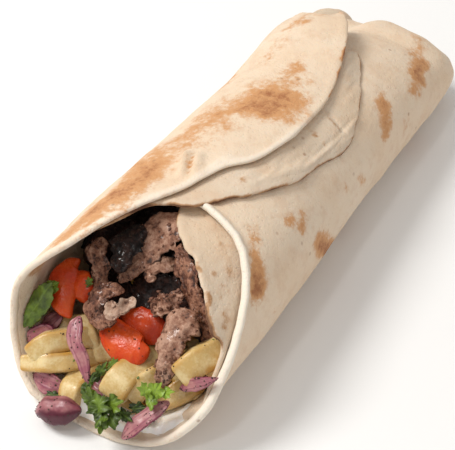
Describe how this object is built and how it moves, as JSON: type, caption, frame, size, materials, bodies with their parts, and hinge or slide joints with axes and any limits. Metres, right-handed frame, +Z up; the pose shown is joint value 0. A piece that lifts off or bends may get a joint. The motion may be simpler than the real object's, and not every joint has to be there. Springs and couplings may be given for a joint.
{
  "type": "doner kebab sandwich",
  "caption": "Rolled flatbread wrap lying on its side, its slanted open mouth filled with sliced roast meat, fries, tomato and red onion.",
  "frame": {"origin": "bottom centre of the bounding box of the whole sandwich, on the surface it lies on", "axes": "+Y runs along the roll from its open mouth to its closed end, +Z up, +X to the right seen from the mouth"},
  "size_m": [0.0742, 0.2277, 0.0562],
  "materials": {
    "bread_outer": "matt soft flatbread with toasted brown patches",
    "bread_inner": "matt soft flatbread with a browned ragged edge",
    "fries": "pale yellow fried potato, slightly oily",
    "meat": "brown roast meat, moist, fibrous",
    "meat_char": "dark glossy charred meat edge",
    "onion": "wet pale purple onion",
    "onion_skin": "wet magenta onion skin",
    "tomato": "wet red tomato",
    "parsley": "fresh green parsley leaf",
    "sauce": "glossy white garlic sauce",
    "pepper": "ground black pepper"
  },
  "bodies": {
    "root": {"flatbread_outer_ply": "bread_outer", "flatbread_inner_ply": "bread_inner", "fries_heap": "fries", "meat_packed": "meat", "meat_char": "meat_char", "meat_curl": "meat", "meat_left": "meat", "meat_low": "meat", "meat_right": "meat", "meat_small": "meat", "meat_top": "meat", "onion_bottom": "onion", "onion_left": "onion", "onion_long": "onion", "onion_low": "onion", "onion_right": "onion", "onion_skin": "onion_skin", "tomato_left": "tomato", "tomato_middle": "tomato"}
  },
  "joints": []
}
